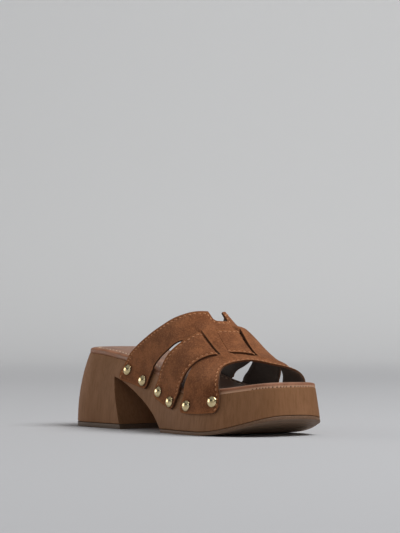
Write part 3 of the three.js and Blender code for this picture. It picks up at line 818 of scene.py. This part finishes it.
# Columns in millimetres inside a stitched edge, beside the split and inside a plain edge, and
# rows in millimetres from the notch's middle
stitch_in = 2.0
fine_steps = np.array([0, 0.6, 1.2, 1.6, 2.0, 2.4, 2.8, 3.6, 4.8])
split_steps = np.array([[0, 1.0, 2.0]])
plain_steps = np.array([[0, 0.6, 1.4]])
notch_steps = np.array([
    -9, -8.2, -7.5, -7.15, -6.9, -6.7, -6.5, -6.3, -6, -5.6, -5.1, -4.6, -3.9, -2.6, -1.3
])
notch_turns = notch_at + np.concatenate([notch_steps, [0], -notch_steps[:2:-1]]) * turn_per_mm


def split_back(turn):
    """Where the slots begin in the rear strap, 70 % of the way to its front edge."""
    back, front = cut_line("rear", 1, turn), cut_line("rear", 2, turn)
    return back + slot_from * (front - back)


def split_front(turn):
    """Where the slots end in the front strap: 45 % of the way to its front edge on the lateral
    side, and 54 % past the top of the foot."""
    back, front = cut_line("front", 1, turn), cut_line("front", 2, turn)
    return back + (slot_to + slot_further * ease((turn - 0.8) / 0.2)) * (front - back)


def bar_mask(turn, start, end, before=0.05, after=0.05):
    """1 over a bar, easing to 0 on both sides."""
    return ease((turn - start + before) / before) * ease((end + after - turn) / after)


def swell(name, past, turn):
    """How far a strap stands up where it runs into its bars: each bar's rise, eased in over the
    way to the split and past it, and on both sides of the bar. Where they overlap, the higher."""
    rise = 0
    for bar in bars:
        before, over = bar["swell"]
        reached = ease((past + before) / over) * bar_mask(turn, *bar[name])
        rise = np.maximum(rise, bar["rise"][name] * reached)
    return rise * (1 - ease(past / 3))


def seam_dip(x, edge, lean, depth=0.28, reach=0.75):
    """The shallow groove that the stitching pulls into the suede, a bell curve across it."""
    return depth * np.exp(-(((np.abs(x - edge) / lean - stitch_in) / reach) ** 2))


def rear_height(x, turn):
    """Outer height of the rear strap: its wall, raised where it runs into the bars."""
    rise = swell("rear", x - split_back(turn), turn)
    back = cut_line("rear", 1, turn) + notch_cut(turn, stitch_in)
    return strap_wall + rise - seam_dip(x, back, edge_lean("rear", 1, turn))


def front_height(x, turn):
    """Outer height of the front strap, with the same rise at the other end of the bars."""
    rise = swell("front", split_front(turn) - x, turn)
    return strap_wall + rise - seam_dip(x, cut_line("front", 2, turn), edge_lean("front", 2, turn))


def middle_height(x, turn):
    """Outer height of the middle strap: over the sheet as its table says, less the tuck under
    each bar, whose turns go evenly from the rear strap's to the front one's."""
    split = split_back(turn)
    share = (x - split) / (split_front(turn) - split)
    under = 0
    for bar in bars:
        start, end = (r + (f - r) * share for r, f in zip(bar["rear"], bar["front"]))
        early, after = bar["tuck"]
        under = np.maximum(under, bar_mask(turn, start, end - early, after=after))
    lift = stepped(straps["middle"], 3, turn) - weave_tuck * under
    back_dip, front_dip = (
        seam_dip(x, cut_line("middle", column, turn), edge_lean("middle", column, turn))
        for column in (1, 2)
    )
    return strap_wall + weave_lift * lift - back_dip - front_dip


# Each nail's strap, its station, and its drop below the insole's edge in tab lengths
nails = {
    "lateral": [
        ("rear", 0.327, 0.525), ("rear", 0.429, 0.700), ("middle", 0.543, 0.681),
        ("middle", 0.627, 0.728), ("front", 0.729, 0.684), ("front", 0.851, 0.526),
    ],
    "medial": [
        ("rear", 0.407, 0.550), ("rear", 0.510, 0.700), ("middle", 0.626, 0.681),
        ("middle", 0.704, 0.704), ("front", 0.798, 0.658), ("front", 0.858, 0.526),
    ],
}
nail_places = [
    (f"{edge}_{number}", name, np.array(length * at), np.array(-drop if edge == "lateral" else 2 + drop))
    for edge, row in nails.items()
    for number, (name, at, drop) in enumerate(row, 1)
]
nail_seats = np.array([
    shell_point(x, turn, tab_reach[name], strap_wall + gap) for _, name, x, turn in nail_places
])


def press(points, normals, depth=0.55, reach=6.5):
    """The dimples that the nail heads press into the suede, a bell curve round each nail."""
    near = np.min(np.linalg.norm(points[..., None, :] - nail_seats, axis=-1), axis=-1)
    return points - normals * (depth * np.exp(-((near / reach) ** 2)))[..., None]


def strap_part(name, x, turn, height):
    """Points of one part of a strap from its grid of stations, turns and heights."""
    turn = np.broadcast_to(turn, x.shape)
    tab = tab_reach[name]
    return press(shell_point(x, turn, tab, height), last_normal(x, turn, tab))


def beside_bars(name, turns, hair=1e-9):
    """The rows up to the first bar, between the two bars, and from the second one on."""
    (start, first_end), (second_start, end) = (bar[name] for bar in bars)
    between = (turns >= first_end - hair) & (turns <= second_start + hair)
    return turns <= start + hair, between, turns >= end - hair


sheet = []


def add_part(name, x, turn, height, edge):
    """Keeps a part of the woven sheet with its distance from the cut edges."""
    sheet.append((strap_part(name, x, turn, height), np.broadcast_to(edge, x.shape)))


def lay_strap(name, turns, split, height, sewn_column, room):
    """The grids of the rear or the front strap: from its stitched edge to the split, with columns
    that close up where there is less room than they need, and from the split to its plain edge
    beside the bars."""
    both = edges(name, turns)
    sewn, plain = both[sewn_column - 1], both[2 - sewn_column]
    order = 1 if sewn_column == 1 else -1
    turn = turns[:, None]
    lean = edge_lean(name, sewn_column, turns)
    close = np.minimum(lean, np.abs(split - sewn) / room)[:, None]
    (start, first), (end, last) = [(sewn, fine_steps * close), (split, split_steps)][::order]
    x = lay_columns(start, end, first, last, 14)
    edge = np.minimum(np.abs(x - sewn[:, None]) / lean[:, None], to_tab_end(name, turn))
    add_part(name, x, turn, height(x, turn), edge)
    for keep in beside_bars(name, turns):
        turn = turns[keep][:, None]
        (start, first), (end, last) = [(split[keep], split_steps), (plain[keep], plain_steps)][::order]
        x = lay_columns(start, end, first, last, 8)
        edge = np.minimum(np.abs(x - plain[keep][:, None]), to_tab_end(name, turn))
        add_part(name, x, turn, height(x, turn), edge)


first_bar, second_bar = ((*bar["rear"], bar["rows"]) for bar in bars)
rear_turns = turns_of("rear", first_bar, (notch_turns[0], notch_turns[-1], 2), second_bar)
rear_turns = np.sort(np.concatenate([rear_turns, notch_turns[1:-1]]))
front_turns = turns_of("front", *((*bar["front"], bar["rows"]) for bar in bars))
lay_strap("rear", rear_turns, split_back(rear_turns), rear_height, 1, room=7)
lay_strap("front", front_turns, split_front(front_turns), front_height, 2, room=8)
for bar in bars:
    rear_turn = np.linspace(*bar["rear"], bar["rows"])[:, None]
    front_turn = np.linspace(*bar["front"], bar["rows"])[:, None]
    start, end = split_back(rear_turn), split_front(front_turn)
    share = np.linspace(0, 1, 36)
    turn = rear_turn + (front_turn - rear_turn) * share
    x = start + (end - start) * share
    before, over = bar["swell"]
    rear_rise = bar["rise"]["rear"] * ease((x - start + before) / over)
    front_rise = bar["rise"]["front"] * ease((end - x + before) / over)
    # The added turn keeps the painted shade and painted highlight of cut edges off the bar's far edge.
    edge = np.minimum(turn - turn[:1], turn[-1:] - turn + bar["far_edge_unpainted"]) / turn_per_mm
    add_part("rear", x, turn, strap_wall + rear_rise + (front_rise - rear_rise) * ease(share), edge)


def join_parts(parts):
    """Points, faces and edge distances of several grids as one mesh."""
    faces = []
    first = 0
    for points, _ in parts:
        faces.append(sheet_faces(*points.shape[:2]) + first)
        first += points.shape[0] * points.shape[1]
    points = np.concatenate([points.reshape(-1, 3) for points, _ in parts])
    return points, np.concatenate(faces), np.concatenate([edge.ravel() for _, edge in parts])


suede, place, drive = new_finish(
    "suede", Specular_IOR_Level=0.0, Sheen_Weight=0.25, Sheen_Roughness=0.5, Sheen_Tint=(1.0, 0.72, 0.5, 1)
)
edge_mm = place.mark("edge_mm")
cloud = place.noise(16, 3, 0.55)
brushed = place.noise(5, 4, 0.65, (1.5, 1, 1))
nap = place.noise(1.25, 4, 0.75)
colour = cloud.between(0.32, 0.68).mix(rgb(115, 69, 44), rgb(142, 89, 57))
colour = (brushed.between(0.4, 0.72) * 0.6).mix(colour, rgb(93, 55, 35))
colour = (nap.between(0.48, 0.7) * 0.62).mix(colour, rgb(168, 110, 72))
colour = ((1 - nap.between(0.3, 0.5)) * 0.62).mix(colour, rgb(83, 50, 32))
# A lighter band from 0.5 to 0.7 mm inside each cut edge: a painted highlight along the edge.
painted_edge_highlight = edge_mm.between(0.0, 0.5) * (1 - edge_mm.between(0.7, 2.0))
colour = (painted_edge_highlight * 0.35).mix(colour, rgb(157, 100, 60))
# Darker within 0.35 mm of a cut edge: partly the raw edge's own darker colour, partly painted shade along the
# edge; the first bar's far edge, which faces the light, is left out.
colour = ((1 - edge_mm.between(0.0, 0.35)) * 0.8).mix(colour, rgb(64, 42, 31))
drive(Base_Color=colour, Roughness=nap * 0.1 + 0.88, Normal=bump(nap * 0.6 + brushed * 0.4, 0.5))

# The lining's tones are far lighter than its near-black leather: painted fill light for the shade inside the
# straps.
lining = speckled_finish("lining", rgb(89, 80, 75), rgb(108, 99, 93), 0.7, 0.3, 0.55)


def finish_strap(piece):
    """Gives the sheet its wall, lined inside, and softens its cut edges."""
    wall = piece.modifiers.new("wall", "SOLIDIFY")
    wall.thickness = suede_wall * MM
    wall.offset = -1
    wall.material_offset = 1
    soft = piece.modifiers.new("cut_edge", "BEVEL")
    soft.width = 0.45 * MM
    soft.segments = 2
    soft.limit_method = "ANGLE"
    soft.angle_limit = math.radians(55)


points, faces, edge = join_parts(sheet)
outer_sheet = add_piece(
    "woven_upper", points, faces, [suede, lining], ["upper"], 55, False, {"edge_mm": edge}
)
finish_strap(outer_sheet)

# The middle strap: a second piece of the same lined suede, nailed at both ends. It is woven over
# the rear strap's edge, under the first bar, over the sheet, under the second bar and over again.
# Its rows lie closer where it climbs and dives.
middle_turns = turns_of("middle", (0.58, 0.72, 24), (0.72, 0.86, 34), (0.95, 1.12, 28), (1.40, 1.52, 18))
back, front = edges("middle", middle_turns)
turn = middle_turns[:, None]
back_lean = edge_lean("middle", 1, middle_turns)[:, None]
front_lean = edge_lean("middle", 2, middle_turns)[:, None]
x = lay_columns(back, front, fine_steps * back_lean, fine_steps * front_lean, 12)
edge = np.minimum((x - back[:, None]) / back_lean, (front[:, None] - x) / front_lean)
edge = np.minimum(edge, to_tab_end("middle", turn))
points = strap_part("middle", x, turn, middle_height(x, turn))
middle = add_piece(
    "middle_strap", points, sheet_faces(*x.shape), [suede, lining], [], 55, False, {"edge_mm": edge}
)
finish_strap(middle)

# The straps' stitching: a single row of tan thread 2 mm inside each open edge, also round the
# notch, in stitches 4 mm apart. It stops just short of the tabs' ends.


def seam(name, column, height, short=0.07):
    """Points and normals along a line inside a strap's back (1) or front (2) edge."""
    turn = np.linspace(short - 1, 3 - short, 6000)
    back, front = edges(name, turn)
    inset = stitch_in * edge_lean(name, column, turn)
    if column == 2:
        x = front - inset
    elif name == "rear":
        x = back - notch_cut(turn) + notch_cut(turn, stitch_in) + inset
    else:
        x = back + inset
    normal = last_normal(x, turn, tab_reach[name])
    return press(shell_point(x, turn, tab_reach[name], height(x, turn)), normal), normal


thread = thread_finish("strap_thread", rgb(178, 121, 83), rgb(208, 152, 108))
seams = [
    seam("rear", 1, rear_height),
    seam("middle", 1, middle_height),
    seam("middle", 2, middle_height),
    seam("front", 2, front_height),
]
points, faces = stitches(seams, pitch=4.0, thread=0.4)
add_piece("strap_stitching", points, faces, [thread], [], 80)

# The nails: brass-finished steel upholstery nails with domed heads, six along each side, driven
# square through the straps' ends into the wood.
nail_head, nail_dome, nail_rim, nail_shank, nail_length, nail_point = 9.3, 3.0, 0.4, 2.4, 12.5, 3
brass, place, drive = new_finish("stud_brass", Metallic=1.0)
wear = place.noise(3, 3, 0.6)
scratch = place.noise(0.5, 3, 0.6)
drive(
    Base_Color=wear.between(0.35, 0.7).mix(rgb(238, 220, 174), rgb(216, 194, 146)),
    Roughness=wear * 0.14 + 0.16,
    Normal=bump(scratch, 0.03),
)


def nail(seat, axis, around=40):
    """A lathe round the axis: pointed shank, underside of the head, rounded rim, and a dome that
    is part of a sphere."""
    radius, height = nail_head / 2, nail_dome - nail_rim
    sphere = (radius**2 + height**2) / (2 * height)
    angle = math.asin(radius / sphere) * (1 - np.linspace(0, 1, 14)[1:])
    profile = np.concatenate([
        [(0, -nail_length), (nail_shank / 2, nail_point - nail_length), (nail_shank / 2, 0)],
        [(radius - 0.5, 0), (radius - 0.12, 0.06), (radius, 0.22), (radius - 0.04, nail_rim)],
        np.stack([sphere * np.sin(angle), nail_dome - sphere * (1 - np.cos(angle))], -1),
    ])
    first = unit(np.cross(axis, (0, 0, 1.0)))
    second = np.cross(axis, first)
    turn = np.arange(around) / around * 2 * np.pi
    ring = np.cos(turn)[:, None] * first + np.sin(turn)[:, None] * second
    return seat + profile[:, 0, None, None] * ring + profile[:, 1, None, None] * axis


for (label, name, x, turn), seat in zip(nail_places, nail_seats):
    points = nail(seat, last_normal(x, turn, tab_reach[name]))
    add_piece(
        f"nail_{label}", points, sheet_faces(*points.shape[:2], True), [brass],
        [f"stud_{label}"], 50,
    )

# The studio: a pale seamless paper floor that sweeps up into a bowl all round. A large soft light
# stands above the toe, a warm one low behind the heel, a weak one in front, and one on the
# background, in a dim room.
flat_radius, bend_from, bend_radius, bowl_top = 2.2, 2.4, 1.8, 3.6
bend = np.linspace(0, np.pi / 2, 24)
flat_run = np.concatenate([[0.0], np.linspace(0.05, flat_radius, 8)])
bowl_run = np.concatenate([flat_run, bend_from + bend_radius * np.sin(bend), [bend_from + bend_radius]])
bowl_rise = np.concatenate([0 * flat_run, bend_radius * (1 - np.cos(bend)), [bowl_top]])
turn = np.arange(96) / 96 * 2 * np.pi
bowl = np.stack([
    bowl_run[:, None] * np.cos(turn), bowl_run[:, None] * np.sin(turn), bowl_rise[:, None] + 0 * turn
], -1)
floor_mesh = bpy.data.meshes.new("floor")
floor_mesh.from_pydata(bowl.reshape(-1, 3).tolist(), [], sheet_faces(*bowl.shape[:2], True)[:, ::-1].tolist())
floor_mesh.shade_smooth()
floor = bpy.data.objects.new("floor", floor_mesh)
bpy.context.collection.objects.link(floor)
paper, place, drive = new_finish("paper", Roughness=0.9, Specular_IOR_Level=0.1)
away = place.make("VectorMath", {"operation": "LENGTH"}, {0: place}, "Value")
sweep = away.between(1.2, 3.4).mix((0.5, 0.503, 0.516, 1), (0.82, 0.823, 0.825, 1))
drive(Base_Color=place.axis(2).between(1.0, 1.6).mix(sweep, (0.06, 0.06, 0.06, 1)))
floor_mesh.materials.append(paper)


def soft_light(name, place_at, aim, width, height, watts, tint=(1, 1, 1)):
    """A rectangular soft box that faces the aim."""
    light = bpy.data.lights.new(name, "AREA")
    light.shape = "RECTANGLE"
    light.size, light.size_y, light.energy = width, height, watts
    light.color = tint
    lamp = bpy.data.objects.new(name, light)
    bpy.context.collection.objects.link(lamp)
    lamp.location = place_at
    away = np.array(place_at) - np.array(aim)
    flat = math.hypot(away[0], away[1])
    lamp.rotation_euler = (math.atan2(flat, away[2]), 0, math.atan2(away[1], away[0]) + math.pi / 2)


soft_light("key_light", (1.15, 0.75, 2.2), (0, 0, 0.05), 1.6, 1.6, 63)
soft_light("side_light", (-1.8, -1.3, 0.6), (0, 0, 0.05), 1.8, 1.0, 14, (1, 0.94, 0.86))
soft_light("wall_light", (-1.2, 1.6, 2.4), (-3.4, 2.4, 0.4), 1.5, 1.0, 19)
soft_light("front_light", (1.7, -1.6, 1.3), (0, 0, 0.05), 1.2, 0.8, 3)
world = bpy.data.worlds.new("room")
world.use_nodes = True
world.node_tree.nodes["Background"].inputs["Color"].default_value = (0.95, 0.97, 1.0, 1)
world.node_tree.nodes["Background"].inputs["Strength"].default_value = 0.28
bpy.context.scene.world = world
